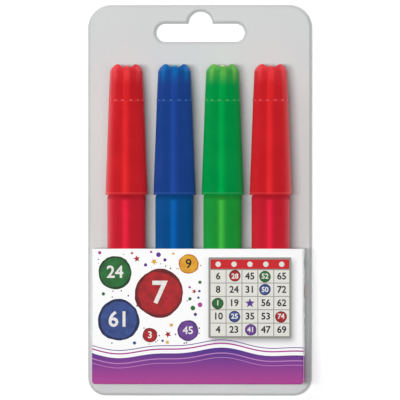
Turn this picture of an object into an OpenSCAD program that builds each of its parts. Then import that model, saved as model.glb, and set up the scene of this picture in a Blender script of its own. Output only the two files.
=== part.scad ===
// Hang pack of four slim bingo daubers (fibre-tip bingo pens).
// The pack lies on its back: X runs across the pack, Y towards the hang slot,
// Z out of the front. The origin is the middle of the back face.

/* [Pack] */
// Width of the moulded tray
tray_w = 80; // [79:0.5:86]
// Height of the moulded tray, hang slot end to foot
tray_h = 139.5; // [139:0.5:146]
// Corner radius of the tray at its upper end
tray_corner_r = 8.25; // [6:0.25:12]
// Corner radius of the tray at its foot
tray_foot_r = 6.5; // [5:0.25:12]
// Depth of the turned-down rim round the tray
rim_depth = 2.4; // [2:0.1:3.5]
// Sheet thickness of the tray
sheet_t = 0.8; // [0.6:0.1:1]
// Radius that rounds the front edge of the rim
rim_edge_r = 0.8; // [0.5:0.1:1.2]

/* [Hang slot] */
// Overall width of the hang slot
slot_w = 32.3; // [30:0.1:34]
// Height of the straight part of the hang slot
slot_h = 7.1; // [6:0.1:8]
// Distance of the slot centre above the tray centre
slot_y = 60.2; // [59:0.1:60.5]
// Radius of the round peak above the slot
slot_peak_r = 4.65; // [4:0.05:5]

/* [Printed card] */
// Width of the folded card
card_w = 75; // [74:0.5:76]
// Height of the card front
card_h = 48; // [46:0.5:48]
// Distance of the card's foot below the tray centre
card_foot_y = 65.2; // [65.2:0.1:66]
// Board thickness
card_t = 0.5; // [0.3:0.05:0.6]
// Width of the glue tabs folded in under the pens
tab_w = 2.6; // [1.5:0.1:2.6]

/* [Pens] */
// Number of pens in the pack is four; distance between their axes
pen_pitch = 17.1; // [16.2:0.1:17.3]
// Overall length of a capped pen
pen_len = 112.9; // [112:0.1:113]
// Radius of the barrel
barrel_r = 6.85; // [6.7:0.01:6.9]
// Wall thickness of the barrel
barrel_wall = 1.25; // [1.1:0.01:1.3]
// Radius of the barrel neck that the cap pushes over
neck_r = 6.35; // [6.2:0.01:6.4]
// Length of the barrel neck
neck_len = 11.7; // [10:0.1:12]

/* [Caps] */
// Length of the cap
cap_len = 46.4; // [46:0.1:48]
// Radius of the cap at its mouth
cap_mouth_r = 7.56; // [7.5:0.01:7.6]
// Number of flutes round the top of the cap
flutes = 14; // [10:1:16]
// Radius of the cutter that makes each flute
flute_cutter_r = 4; // [3.6:0.1:5]
// Depth of each flute
flute_depth = 0.2; // [0.15:0.01:0.25]
// Radius of the two crossed channels that part the crown into lobes
crown_cutter_r = 3.6; // [3:0.1:4.2]
// Depth of those channels
crown_depth = 1.3; // [1:0.05:1.5]
// Radial play of the cap on the neck
cap_play = 0.07; // [0.04:0.01:0.1]

/* [Nib] */
// Radius of the fibre nib
nib_r = 2.5; // [2:0.1:2.8]
// How far the nib stands out of its holder
nib_out = 5.4; // [4:0.1:6]

/* [Travel, for viewing only] */
// How far the caps are pulled off
caps_off = 0; // [0:1:45]
// How far the pens are drawn out of the pocket
pens_out = 0; // [0:1:55]

/* [Hidden] */
$fn = 96;

cap_color = ["#c8242b", "#20418c", "#00954a", "#c8242b"];
barrel_color = ["#bb2232", "#0b4f93", "#209a48", "#bb2232"];
ink_color = ["#a31420", "#12307c", "#067a35", "#a31420"];

gap = 0.3;                                   // air between a pen and the pack
axis_z = rim_depth + gap + cap_mouth_r + 0.04; // height of the pen axes
tail_y = -card_foot_y + card_t + 0.1;        // where the pens' tails stand
shoulder = pen_len - cap_len - 0.1;          // barrel shoulder, from the tail
mouth = pen_len - cap_len;                   // cap mouth, from the tail
bore_r = barrel_r - barrel_wall;             // inside of the barrel
neck_end = shoulder + neck_len;              // front end of the barrel
nose_end = neck_end + 19.4;                  // front end of the nib holder
nose_r = 3.48;                               // nose that the cap's inner seal grips
plug_len = 10;                               // end plug, flange to inner end
flange_t = 2;                                // end plug flange
holder_in = neck_end - 10.2;                 // rear end of the nib holder
card_in_z = axis_z + barrel_r + gap;         // inside of the card front
saddle_top = axis_z - 1.0;                   // crest of the tray's pen saddles
notch_r = barrel_r + 0.17;                   // saddle notch that cradles a barrel
saddle_ys = [-24, -55];                      // where the two saddles stand
eps = 0.01;

function pen_x(i) = (i - 1.5) * pen_pitch;

// Points of an ellipse arc, for turned profiles.
function arc(cx, cy, rx, ry, a0, a1, n) =
    [for (k = [0:n]) let (a = a0 + (a1 - a0) * k / n) [cx + rx * cos(a), cy + ry * sin(a)]];

// Stands a pen part, modelled tail at z 0 and cap up, in its place in the pack.
module in_pack(i, out = 0)
    translate([pen_x(i), tail_y + pens_out + out, axis_z]) rotate([-90, 0, 0]) children();

// Rectangle with corners of radius r above and rf below.
module rounded_rect(w, h, r, rf) {
    translate([-(w / 2 - r), 0]) square([w - 2 * r, h / 2]);
    translate([-(w / 2 - rf), -h / 2]) square([w - 2 * rf, h / 2]);
    translate([-w / 2, -(h / 2 - rf)]) square([w, h - r - rf]);
    for (x = [-1, 1]) {
        translate([x * (w / 2 - r), h / 2 - r]) circle(r = r);
        translate([x * (w / 2 - rf), -(h / 2 - rf)]) circle(r = rf);
    }
}

// Solid plate with a quarter-round front edge.
module eased_plate(w, h, r, rf, depth, e) {
    linear_extrude(depth - e) rounded_rect(w, h, r, rf);
    linear_extrude(depth) rounded_rect(w - 2 * e, h - 2 * e, r - e, rf - e);
    for (k = [[1, r], [-1, rf]]) {
        translate([-(w / 2 - k[1]), k[0] * (h / 2 - e), depth - e])
            rotate([0, 90, 0]) cylinder(r = e, h = w - 2 * k[1], $fn = 48);
        for (x = [-1, 1]) translate([x * (w / 2 - k[1]), k[0] * (h / 2 - k[1]), depth - e])
            rotate_extrude() translate([k[1] - e, 0]) circle(r = e, $fn = 48);
    }
    for (x = [-1, 1]) translate([x * (w / 2 - e), -(h / 2 - rf), depth - e])
        rotate([-90, 0, 0]) cylinder(r = e, h = h - r - rf, $fn = 48);
}

module hang_slot_outline() {
    square([slot_w - slot_h, slot_h], center = true);
    for (x = [-1, 1]) translate([x * (slot_w - slot_h) / 2, 0]) circle(r = slot_h / 2);
    translate([0, slot_h / 2 - 0.35]) circle(r = slot_peak_r);
}

// Cross beam with drafted sides; inset makes the hollow behind its skin.
module saddle_beam(y, inset) {
    wb = 5 - inset;
    wt = 3.6 - inset;
    half = 34.2 - inset;
    top = saddle_top - inset;
    z0 = inset > 0 ? rim_depth - sheet_t - 1 : rim_depth - sheet_t / 2;
    difference() {
        translate([-half, y, 0]) rotate([90, 0, 90])
            linear_extrude(2 * half) polygon([[-wb, z0], [wb, z0], [wt, top], [-wt, top]]);
        for (i = [0:3]) translate([pen_x(i), y - 8, axis_z]) rotate([-90, 0, 0])
            cylinder(r = notch_r + inset, h = 16);
    }
}

// Thermoformed tray: flat face, turned-down rim, hang slot and two hollow saddles.
module tray() color("#cccccc") difference() {
    union() {
        difference() {
            eased_plate(tray_w, tray_h, tray_corner_r, tray_foot_r, rim_depth, rim_edge_r);
            translate([0, 0, -1]) linear_extrude(rim_depth - sheet_t + 1)
                rounded_rect(tray_w - 2.4, tray_h - 2.4, tray_corner_r - 1.2, tray_foot_r - 1.2);
        }
        for (y = saddle_ys) saddle_beam(y, 0);
    }
    for (y = saddle_ys) saddle_beam(y, sheet_t);
    translate([0, slot_y, -1]) linear_extrude(rim_depth + 2) hang_slot_outline();
}

// Folded board that bridges the barrels: front, two sides, foot and glue tabs.
module printed_card() color("white") {
    z0 = rim_depth;
    z1 = card_in_z + card_t;
    translate([-card_w / 2, -card_foot_y, card_in_z]) cube([card_w, card_h, card_t]);
    for (x = [-card_w / 2, card_w / 2 - card_t])
        translate([x, -card_foot_y, z0]) cube([card_t, card_h, z1 - z0]);
    translate([-card_w / 2, -card_foot_y, z0]) cube([card_w, card_t, z1 - z0]);
    for (x = [-card_w / 2, card_w / 2 - tab_w])
        translate([x, -card_foot_y, z0]) cube([tab_w, card_h, card_t]);
    translate([-card_w / 2, -card_foot_y, z0]) cube([card_w, 3.2, card_t]);
}

// Barrel tube with the stepped neck that carries the cap.
module barrel(i) color(barrel_color[i]) rotate_extrude() polygon([
    [bore_r, flange_t], [barrel_r - 0.25, flange_t], [barrel_r, flange_t + 0.25],
    [barrel_r, shoulder - 0.2], [barrel_r - 0.2, shoulder], [neck_r, shoulder],
    [neck_r, neck_end - 0.4], [neck_r - 0.35, neck_end], [bore_r, neck_end]]);

// Holder pressed into the barrel's mouth: plug, flange, cone and nose.
module nib_holder() color("#f2f2ee") rotate_extrude() polygon([
    [nib_r + 1.9, holder_in], [bore_r, holder_in], [bore_r, neck_end],
    [neck_r - 0.2, neck_end], [neck_r - 0.2, neck_end + 0.9], [neck_r - 0.5, neck_end + 1.2],
    [5.2, neck_end + 1.2], [5.0, neck_end + 3], [4.25, neck_end + 10.6], [nose_r + 0.2, neck_end + 11.4],
    [nose_r, neck_end + 11.9], [nose_r, nose_end - 0.6], [nose_r - 0.5, nose_end],
    [nib_r, nose_end], [nib_r, holder_in + 7], [nib_r + 0.9, holder_in + 6.2], [nib_r + 1.9, holder_in + 5]]);

// Round fibre nib with a domed tip; its tail feeds from the reservoir.
module nib(i) color(ink_color[i]) rotate_extrude() polygon(concat(
    [[0, holder_in - 6.6], [1.1, holder_in - 6.6], [nib_r, holder_in - 4.8]],
    arc(0, nose_end + nib_out - 2.3, nib_r, 2.3, 0, 90, 12)));

// Fibre ink reservoir between the end plug and the nib holder.
module ink_reservoir(i) color(ink_color[i]) difference() {
    translate([0, 0, plug_len]) cylinder(r = bore_r - 0.35, h = holder_in - plug_len);
    translate([0, 0, holder_in - 6.6]) cylinder(r = nib_r, h = 8);
}

// Clear film rolled round the fibre reservoir.
module reservoir_wrap() color("#e8e8e8", 0.6) difference() {
    translate([0, 0, plug_len]) cylinder(r = bore_r - 0.2, h = holder_in - plug_len);
    translate([0, 0, plug_len - 1]) cylinder(r = bore_r - 0.35, h = holder_in - plug_len + 2);
}

// Plug that closes the barrel's tail.
module end_plug(i) color(cap_color[i]) rotate_extrude() polygon(concat(
    [[0, 0.5], [2.6, 0.5], [3.1, 0]],
    arc(barrel_r - 1.1, 1.1, 1.1, 1.1, -90, 0, 6),
    [[barrel_r, flange_t - 0.25], [barrel_r - 0.25, flange_t],
     [bore_r, flange_t], [bore_r, plug_len - 0.6], [bore_r - 0.3, plug_len],
     [bore_r - 1.1, plug_len], [bore_r - 1.2, 3.4], [0, 3.4]]));

// Outside of the cap, mouth at z 0: bead, long taper, ring, fluted top and chamfered crown.
function cap_profile() = let (l = cap_len) [
    [cap_mouth_r - 0.15, 0], [cap_mouth_r, 0.15], [cap_mouth_r, 0.95], [cap_mouth_r - 0.09, 1.15],
    [6.35, l - 13.4], [6.45, l - 13.1], [6.45, l - 12.5], [6.31, l - 12.2], [5.92, l - 3.3],
    [4.68, l - 0.2], [4.5, l - 0.05], [4.3, l], [0, l]];

// Push-on cap: tapered shell, flutes, four-lobed crown and the inner sealing tube.
module cap(i) color(cap_color[i]) translate([0, 0, mouth + caps_off]) {
    difference() {
        rotate([0, 0, 720 / flutes]) rotate_extrude() polygon(cap_profile());
        // inside of the shell
        rotate_extrude() polygon([[0, -1], [neck_r + cap_play + 0.35, -1], [neck_r + cap_play + 0.35, 0],
            [neck_r + cap_play, 0.4], [neck_r + cap_play, 13.4], [5.95, 14.4],
            [5.2, cap_len - 14], [4.85, cap_len - 3.6], [4.2, cap_len - 2.7], [0, cap_len - 2.7]]);
        // flutes, each ending in the round of its cutter
        for (k = [0:flutes - 1]) rotate([0, 0, 270 + k * 360 / flutes])
            translate([6.255 - flute_depth + flute_cutter_r, 0, cap_len - 11.3]) rotate([0, -2.45, 0]) {
                cylinder(r = flute_cutter_r, h = 16, $fn = 64);
                sphere(r = flute_cutter_r, $fn = 64);
            }
        // crossed channels that part the crown into four lobes
        for (a = [0, 90]) rotate([0, 0, a]) translate([-9, 0, cap_len - crown_depth + crown_cutter_r])
            rotate([0, 90, 0]) cylinder(r = crown_cutter_r, h = 18, $fn = 96);
    }
    // moulding point in the middle of the crown
    rotate_extrude() polygon([[0, cap_len - 2.2], [0.95, cap_len - 2.2], [0.95, cap_len - crown_depth + 0.05],
        [0.75, cap_len - crown_depth + 0.32], [0.4, cap_len - crown_depth + 0.5], [0, cap_len - crown_depth + 0.55]]);
    // sealing tube that closes round the nib holder's nose
    rotate_extrude() polygon([[nose_r + 0.06, cap_len - 20.4], [nose_r + 0.5, cap_len - 20.4],
        [nose_r + 0.75, cap_len - 19.6], [nose_r + 0.75, cap_len - 2.6], [nose_r + 0.06, cap_len - 2.6]]);
}

tray();
printed_card();
in_pack(0) barrel(0);  // pen1_barrel
in_pack(0) nib_holder();  // pen1_nib_holder
in_pack(0) nib(0);  // pen1_nib
in_pack(0) ink_reservoir(0);  // pen1_ink_reservoir
in_pack(0) reservoir_wrap();  // pen1_reservoir_wrap
in_pack(0) end_plug(0);  // pen1_end_plug
in_pack(0) cap(0);  // pen1_cap
in_pack(1) barrel(1);  // pen2_barrel
in_pack(1) nib_holder();  // pen2_nib_holder
in_pack(1) nib(1);  // pen2_nib
in_pack(1) ink_reservoir(1);  // pen2_ink_reservoir
in_pack(1) reservoir_wrap();  // pen2_reservoir_wrap
in_pack(1) end_plug(1);  // pen2_end_plug
in_pack(1) cap(1);  // pen2_cap
in_pack(2) barrel(2);  // pen3_barrel
in_pack(2) nib_holder();  // pen3_nib_holder
in_pack(2) nib(2);  // pen3_nib
in_pack(2) ink_reservoir(2);  // pen3_ink_reservoir
in_pack(2) reservoir_wrap();  // pen3_reservoir_wrap
in_pack(2) end_plug(2);  // pen3_end_plug
in_pack(2) cap(2);  // pen3_cap
in_pack(3) barrel(3);  // pen4_barrel
in_pack(3) nib_holder();  // pen4_nib_holder
in_pack(3) nib(3);  // pen4_nib
in_pack(3) ink_reservoir(3);  // pen4_ink_reservoir
in_pack(3) reservoir_wrap();  // pen4_reservoir_wrap
in_pack(3) end_plug(3);  // pen4_end_plug
in_pack(3) cap(3);  // pen4_cap
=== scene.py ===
import bpy
import bmesh
import math
import random
from mathutils import Vector, Matrix, noise
from mathutils.geometry import delaunay_2d_cdt


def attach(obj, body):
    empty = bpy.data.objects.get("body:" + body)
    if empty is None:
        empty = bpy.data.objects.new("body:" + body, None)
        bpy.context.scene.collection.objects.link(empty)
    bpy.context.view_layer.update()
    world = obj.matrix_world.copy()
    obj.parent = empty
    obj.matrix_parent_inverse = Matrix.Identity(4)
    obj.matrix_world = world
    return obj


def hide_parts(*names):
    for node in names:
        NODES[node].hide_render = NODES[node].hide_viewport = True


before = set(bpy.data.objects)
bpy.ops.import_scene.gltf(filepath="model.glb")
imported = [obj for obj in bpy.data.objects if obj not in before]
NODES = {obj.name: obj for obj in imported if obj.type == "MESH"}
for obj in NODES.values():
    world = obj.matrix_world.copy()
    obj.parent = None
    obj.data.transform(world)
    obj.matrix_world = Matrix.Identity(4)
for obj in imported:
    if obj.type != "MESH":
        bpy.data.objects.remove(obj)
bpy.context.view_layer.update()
scene = bpy.context.scene
MM = 0.001

# ------------------------------------------------------------------ sizes (mm)
TRAY_W, TRAY_H, TRAY_R, TRAY_FOOT_R = 80.0, 139.5, 8.25, 6.5
RIM, SHEET, EDGE_R = 2.4, 0.8, 1.1
SLOT_W, SLOT_H, SLOT_Y, PEAK_R = 32.3, 7.1, 59.75, 4.65
CARD_W, CARD_H, CARD_FOOT, CARD_T, TAB = 75.0, 48.0, 65.2, 0.5, 2.6
PITCH, PEN_L, BARREL_R, WALL, NECK_R, NECK_L = 17.1, 112.9, 6.85, 1.25, 6.35, 11.7
CAP_L, MOUTH_R, FLUTES, PLAY = 46.4, 7.56, 14, 0.07
NIB_R, NIB_OUT = 2.5, 5.4
AXIS_Z = RIM + 0.3 + MOUTH_R + 0.04
TAIL_Y = -CARD_FOOT + CARD_T + 0.1
SHOULDER = PEN_L - CAP_L - 0.1
MOUTH = PEN_L - CAP_L
BORE_R = BARREL_R - WALL
NECK_END = SHOULDER + NECK_L
NOSE_END = NECK_END + 19.4
NOSE_R = 3.48
PLUG_L, FLANGE = 10.0, 2.0
HOLDER_IN = NECK_END - 10.2
CARD_IN = AXIS_Z + BARREL_R + 0.3
CARD_TOP = CARD_IN + CARD_T
SADDLE_TOP = AXIS_Z - 1.0
NOTCH_R = BARREL_R + 0.17
SADDLES = (-24.0, -55.0)
CROWN_R, CROWN_D = 3.6, 1.3            # radius and depth of the crown's two crossed channels
FLUTE_D, TURN = 0.06, math.radians(4.4)   # flute depth, and how far each cap is turned about its axis
COLOURS = ("red", "blue", "green", "red")


def pen_x(i):
    return (i - 1.5) * PITCH


# ---------------------------------------------------------------- mesh helpers
def finish_mesh(name, bm, material, body, node=None, sharp=35.0, recalc=True):
    """Turns a bmesh in millimetres into a shaded piece that rides on a body."""
    bmesh.ops.remove_doubles(bm, verts=bm.verts, dist=4e-4)
    bmesh.ops.dissolve_degenerate(bm, edges=bm.edges, dist=1e-6)
    if recalc:
        bmesh.ops.recalc_face_normals(bm, faces=bm.faces)
    bmesh.ops.scale(bm, vec=(MM, MM, MM), verts=bm.verts)
    me = bpy.data.meshes.new(name)
    bm.to_mesh(me)
    bm.free()
    for p in me.polygons:
        p.use_smooth = True
    me.set_sharp_from_angle(angle=math.radians(sharp))
    ob = bpy.data.objects.new(name, me)
    scene.collection.objects.link(ob)
    for m in material if isinstance(material, (list, tuple)) else [material]:
        me.materials.append(m)
    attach(ob, body)
    if node:
        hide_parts(node)
    return ob


def arc(cx, cy, r, a0, a1, n, ry=None):
    ry = r if ry is None else ry
    return [(cx + r * math.cos(math.radians(a0 + (a1 - a0) * k / n)),
             cy + ry * math.sin(math.radians(a0 + (a1 - a0) * k / n))) for k in range(n + 1)]


def round_corners(points, closed=True, n=5):
    """Rounds the corners of a polyline. Each point is (x, y, radius)."""
    out = []
    m = len(points)
    for k in range(m):
        x, y, r = points[k]
        if r <= 0 or (not closed and k in (0, m - 1)):
            out.append((x, y))
            continue
        p = Vector((x, y))
        a = Vector(points[k - 1][:2]) - p
        b = Vector(points[(k + 1) % m][:2]) - p
        la, lb = a.length, b.length
        a.normalize()
        b.normalize()
        ang = math.acos(max(-1, min(1, a.dot(b))))
        if ang > math.radians(178):
            out.append((x, y))
            continue
        d = min(r / math.tan(ang / 2), la * 0.48, lb * 0.48)
        rr = d * math.tan(ang / 2)
        mid = (a + b).normalized()
        c = p + mid * (rr / math.sin(ang / 2))
        s, e = p + a * d - c, p + b * d - c
        a0 = math.atan2(s.y, s.x)
        a1 = math.atan2(e.y, e.x)
        while a1 - a0 > math.pi:
            a1 -= 2 * math.pi
        while a1 - a0 < -math.pi:
            a1 += 2 * math.pi
        for j in range(n + 1):
            t = a0 + (a1 - a0) * j / n
            out.append((c.x + rr * math.cos(t), c.y + rr * math.sin(t)))
    return out


def pen_point(i, r, theta, z):
    """Pen coordinates (radius, angle, distance from the tail) to the row frame, in mm."""
    return (pen_x(i) + r * math.cos(theta), TAIL_Y + z, AXIS_Z - r * math.sin(theta))


def revolve(bm, i, profile, seg=128, warp=None):
    """Closed solid from a closed (r, z) profile turned about pen i's axis. Points on the axis become poles."""
    rings = []
    for r, z in profile:
        if r < 1e-6:
            rings.append([bm.verts.new(pen_point(i, 0, 0, z))])
            continue
        ring = []
        for k in range(seg):
            t = 2 * math.pi * k / seg
            rr, zz = (r, z) if warp is None else warp(r, z, t)
            ring.append(bm.verts.new(pen_point(i, rr, t, zz)))
        rings.append(ring)
    n = len(rings)
    for a in range(n):
        p, q = rings[a], rings[(a + 1) % n]
        if len(p) == 1 and len(q) == 1:
            continue
        for k in range(seg):
            k2 = (k + 1) % seg
            if len(p) == 1:
                bm.faces.new((p[0], q[k], q[k2]))
            elif len(q) == 1:
                bm.faces.new((p[k], q[0], p[k2]))
            else:
                bm.faces.new((p[k], q[k], q[k2], p[k2]))


def smin(a, b, k):
    h = max(k - abs(a - b), 0.0) / k
    return min(a, b) - h * h * k * 0.25


def smoothstep(a, b, x):
    t = max(0.0, min(1.0, (x - a) / (b - a)))
    return t * t * (3 - 2 * t)


# ------------------------------------------------------------------- materials
def new_material(name):
    m = bpy.data.materials.new(name)
    m.use_nodes = True
    nt = m.node_tree
    for n in list(nt.nodes):
        nt.nodes.remove(n)
    out = nt.nodes.new("ShaderNodeOutputMaterial")
    b = nt.nodes.new("ShaderNodeBsdfPrincipled")
    nt.links.new(b.outputs[0], out.inputs[0])
    return m, nt, b


def lin(c):
    """sRGB 0-255 to scene colour."""
    return tuple(((v / 255) / 12.92 if v <= 10.31 else ((v / 255 + 0.055) / 1.055) ** 2.4) for v in c)


def rgba(c):
    return (*lin(c), 1.0)


def coords(nt, scale=(1, 1, 1)):
    tc = nt.nodes.new("ShaderNodeTexCoord")
    mp = nt.nodes.new("ShaderNodeMapping")
    mp.inputs["Scale"].default_value = scale
    nt.links.new(tc.outputs["Object"], mp.inputs[0])
    return mp.outputs[0]


def noise_tex(nt, vec, scale, detail=2.0, rough=0.5):
    n = nt.nodes.new("ShaderNodeTexNoise")
    n.inputs["Scale"].default_value = scale
    n.inputs["Detail"].default_value = detail
    n.inputs["Roughness"].default_value = rough
    nt.links.new(vec, n.inputs["Vector"])
    return n.outputs[0]


def ramp(nt, fac, stops):
    r = nt.nodes.new("ShaderNodeValToRGB")
    el = r.color_ramp.elements
    el[0].position, el[0].color = stops[0][0], (*stops[0][1], 1)
    el[1].position, el[1].color = stops[-1][0], (*stops[-1][1], 1)
    for p, c in stops[1:-1]:
        e = el.new(p)
        e.color = (*c, 1)
    nt.links.new(fac, r.inputs[0])
    return r.outputs[0]


def maths(nt, op, a, b=None, clamp=False):
    m = nt.nodes.new("ShaderNodeMath")
    m.operation = op
    m.use_clamp = clamp
    for k, v in enumerate((a, b)):
        if v is None:
            continue
        if isinstance(v, (int, float)):
            m.inputs[k].default_value = v
        else:
            nt.links.new(v, m.inputs[k])
    return m.outputs[0]


def map_range(nt, v, a, b, c, d, smooth=False):
    m = nt.nodes.new("ShaderNodeMapRange")
    m.interpolation_type = "SMOOTHSTEP" if smooth else "LINEAR"
    nt.links.new(v, m.inputs[0])
    for k, x in enumerate((a, b, c, d)):
        m.inputs[1 + k].default_value = x
    return m.outputs[0]


def mix_colour(nt, fac, a, b, mode="MIX"):
    m = nt.nodes.new("ShaderNodeMix")
    m.data_type = "RGBA"
    m.blend_type = mode
    if isinstance(fac, (int, float)):
        m.inputs[0].default_value = fac
    else:
        nt.links.new(fac, m.inputs[0])
    for k, v in ((6, a), (7, b)):
        if isinstance(v, tuple):
            m.inputs[k].default_value = (*v[:3], 1)
        else:
            nt.links.new(v, m.inputs[k])
    return m.outputs[2]


def bump(nt, bsdf, height, strength, distance, normal=None):
    b = nt.nodes.new("ShaderNodeBump")
    b.inputs["Strength"].default_value = strength
    b.inputs["Distance"].default_value = distance
    nt.links.new(height, b.inputs["Height"])
    if normal is not None:
        nt.links.new(normal, b.inputs["Normal"])
    if bsdf is not None:
        nt.links.new(b.outputs[0], bsdf.inputs["Normal"])
    return b.outputs[0]


def separate(nt, vec):
    s = nt.nodes.new("ShaderNodeSeparateXYZ")
    nt.links.new(vec, s.inputs[0])
    return s.outputs


def plastic(name, colour, tint=None, rough=0.34, spec=0.5, vary=0.05, sss=0.0, radius=(1, 0.3, 0.2),
            crown=None, grain=0.004, matt=0.0, ring=False):
    """Satin moulded plastic: fine spark-eroded grain, faint flow marks and slow colour drift."""
    m, nt, b = new_material(name)
    vec = coords(nt)
    base = lin(colour)
    drift = noise_tex(nt, vec, 90, 3, 0.6)
    dark = tuple(v * (1 - vary) for v in base)
    light = tuple(min(1, v * (1 + vary) + 0.004) for v in base)
    col = ramp(nt, drift, [(0.3, dark), (0.7, light)])
    if crown:
        x, y, z = separate(nt, vec)
        across = maths(nt, "SUBTRACT", maths(nt, "FLOORED_MODULO", maths(nt, "ADD", x, 2 * PITCH * MM), PITCH * MM), PITCH / 2 * MM)
        up = maths(nt, "SUBTRACT", z, AXIS_Z * MM)
        turn = maths(nt, "SUBTRACT", maths(nt, "ARCTAN2", up, across), math.pi / 2 - TURN)
        # translucent crown, painted light: a lighter colour stands in for light coming through under the channels and
        # the ears, and fades down the cap
        streak = map_range(nt, maths(nt, "COSINE", maths(nt, "MULTIPLY", turn, 8)), -0.6, 1.0, 0.34, 1.0, smooth=True)
        low = maths(nt, "MULTIPLY", map_range(nt, y, crown[1] * MM, (crown[2] - 1.5) * MM, 0.0, 1.0, smooth=True), streak)
        high = map_range(nt, y, (crown[2] - 2.6) * MM, crown[2] * MM, 0.0, 0.75, smooth=True)
        f = maths(nt, "MULTIPLY", maths(nt, "MAXIMUM", low, high), crown[3])
        blot = noise_tex(nt, vec, 420, 2, 0.5)
        f = maths(nt, "MULTIPLY", f, map_range(nt, blot, 0.3, 0.65, 0.7, 1.0), clamp=True)
        col = mix_colour(nt, f, col, lin(crown[0]))
        # painted highlight: pale glints on the moulding nubs at the lower ends of the ridges and along the ledge
        # between them
        wave_ = maths(nt, "COSINE", maths(nt, "MULTIPLY", turn, FLUTES))
        nub = map_range(nt, wave_, -0.1, -0.9, 0.12, 1.0, smooth=True)
        edge = map_range(nt, wave_, 1.0, -1.0, (TAIL_Y + PEN_L - 13.2) * MM, (TAIL_Y + PEN_L - 12.8) * MM)
        near = maths(nt, "ABSOLUTE", maths(nt, "SUBTRACT", y, edge))
        nub = maths(nt, "MULTIPLY", nub, map_range(nt, near, 0.08 * MM, 0.42 * MM, 0.56, 0.0, smooth=True))
        # painted highlight: pale line on the lip of the mouth
        lip = maths(nt, "ABSOLUTE", maths(nt, "SUBTRACT", y, (TAIL_Y + MOUTH + 0.68) * MM))
        nub = maths(nt, "MAXIMUM", nub, map_range(nt, lip, 0.1 * MM, 0.34 * MM, 0.15, 0.0, smooth=True))
        col = mix_colour(nt, nub, col, lin(crown[4]))
        # thin post in the middle of the crown, nearly see-through: painted light, a lighter colour where light comes
        # through it
        far = maths(nt, "SQRT", maths(nt, "ADD", maths(nt, "MULTIPLY", across, across), maths(nt, "MULTIPLY", up, up)))
        post = maths(nt, "MULTIPLY", map_range(nt, far, 1.05 * MM, 0.85 * MM, 0.0, 0.85, smooth=True),
                     map_range(nt, y, (TAIL_Y + PEN_L - 1.3) * MM, (TAIL_Y + PEN_L - 0.7) * MM, 0.0, 1.0))
        col = mix_colour(nt, post, col, lin(crown[5]))
    fine = noise_tex(nt, vec, 5200, 2, 0.6)
    r = map_range(nt, fine, 0.25, 0.75, rough - 0.05, rough + 0.05)
    if ring:
        # dull ring worn by the cap's mouth (rougher), and painted shade: the colour is darkened towards the mouth,
        # under the cap's rim
        worn = map_range(nt, separate(nt, vec)[1], (TAIL_Y + SHOULDER - 2.1) * MM, (TAIL_Y + SHOULDER - 0.9) * MM, 0.0, 1.0, smooth=True)
        r = maths(nt, "ADD", r, maths(nt, "MULTIPLY", worn, 0.3))
        col = mix_colour(nt, maths(nt, "MULTIPLY", worn, 0.2), col, tuple(v * 0.25 for v in base))
    nt.links.new(col, b.inputs["Base Color"])
    nt.links.new(r, b.inputs["Roughness"])
    b.inputs["Specular IOR Level"].default_value = spec
    if tint:
        b.inputs["Specular Tint"].default_value = (*tint, 1)
    if sss:
        b.inputs["Subsurface Weight"].default_value = sss
        b.inputs["Subsurface Radius"].default_value = radius
        b.inputs["Subsurface Scale"].default_value = 0.0012
    b.inputs["Diffuse Roughness"].default_value = matt
    bump(nt, b, fine, 0.25, grain * MM)
    return m


# crown: colour of the painted light through the crown, the height where it begins, the height of the cap's top, its
# strength, colour of the painted highlights, colour of the painted light through the post
CAP_MAT = {
    "red": plastic("cap_red", (215, 37, 45), tint=(1.0, 0.04, 0.04), spec=0.56, matt=1.0, crown=((244, 82, 90), 40.2, 47.6, 0.75, (255, 128, 132), (230, 152, 160))),
    "blue": plastic("cap_blue", (32, 72, 150), tint=(0.03, 0.11, 0.58), spec=0.42, matt=1.0, crown=((14, 124, 196), 40.2, 47.6, 0.85, (96, 152, 226), (84, 182, 204))),
    "green": plastic("cap_green", (0, 159, 76), tint=(0.0, 0.63, 0.1), spec=0.42, matt=1.0, crown=((146, 208, 92), 40.2, 47.6, 0.68, (120, 214, 140), (206, 228, 140))),
}
# ring: dull ring at the mouth, with painted shade where the cap's rim overhangs
BARREL_MAT = {
    "red": plastic("barrel_red", (213, 38, 55), tint=(1.0, 0.02, 0.08), spec=0.58, matt=1.0, ring=True),
    "blue": plastic("barrel_blue", (14, 87, 155), tint=(0.0, 0.21, 0.82), spec=0.42, matt=1.0, ring=True),
    "green": plastic("barrel_green", (31, 164, 64), tint=(0.18, 0.85, 0.09), spec=0.42, matt=1.0, ring=True),
}
HOLDER = plastic("holder_white", (238, 237, 230), rough=0.4, vary=0.02)


def fibre(name, colour, stretch):
    """Bonded fibre soaked with ink: fine strands along the pen, darker where it is wet."""
    m, nt, b = new_material(name)
    vec = coords(nt, stretch)
    strand = noise_tex(nt, vec, 2600, 4, 0.65)
    wet = noise_tex(nt, coords(nt), 600, 2, 0.5)
    base = lin(colour)
    col = ramp(nt, strand, [(0.32, tuple(v * 0.55 for v in base)), (0.68, tuple(min(1, v * 1.35 + 0.01) for v in base))])
    col = mix_colour(nt, map_range(nt, wet, 0.35, 0.7, 0.0, 0.45), col, tuple(v * 0.6 for v in base))
    nt.links.new(col, b.inputs["Base Color"])
    b.inputs["Roughness"].default_value = 0.75
    b.inputs["Sheen Weight"].default_value = 0.25
    bump(nt, b, strand, 0.8, 0.05 * MM)
    return m


NIB_MAT = {
    "red": fibre("nib_red", (168, 24, 38), (1, 0.12, 1)),
    "blue": fibre("nib_blue", (18, 52, 130), (1, 0.12, 1)),
    "green": fibre("nib_green", (8, 122, 60), (1, 0.12, 1)),
}
INK_MAT = {c: fibre("ink_" + c, k, (1, 0.05, 1)) for c, k in
           (("red", (150, 20, 34)), ("blue", (16, 46, 120)), ("green", (6, 110, 52)))}
WRAP = plastic("wrap_film", (226, 229, 232), rough=0.2, vary=0.02)


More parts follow.
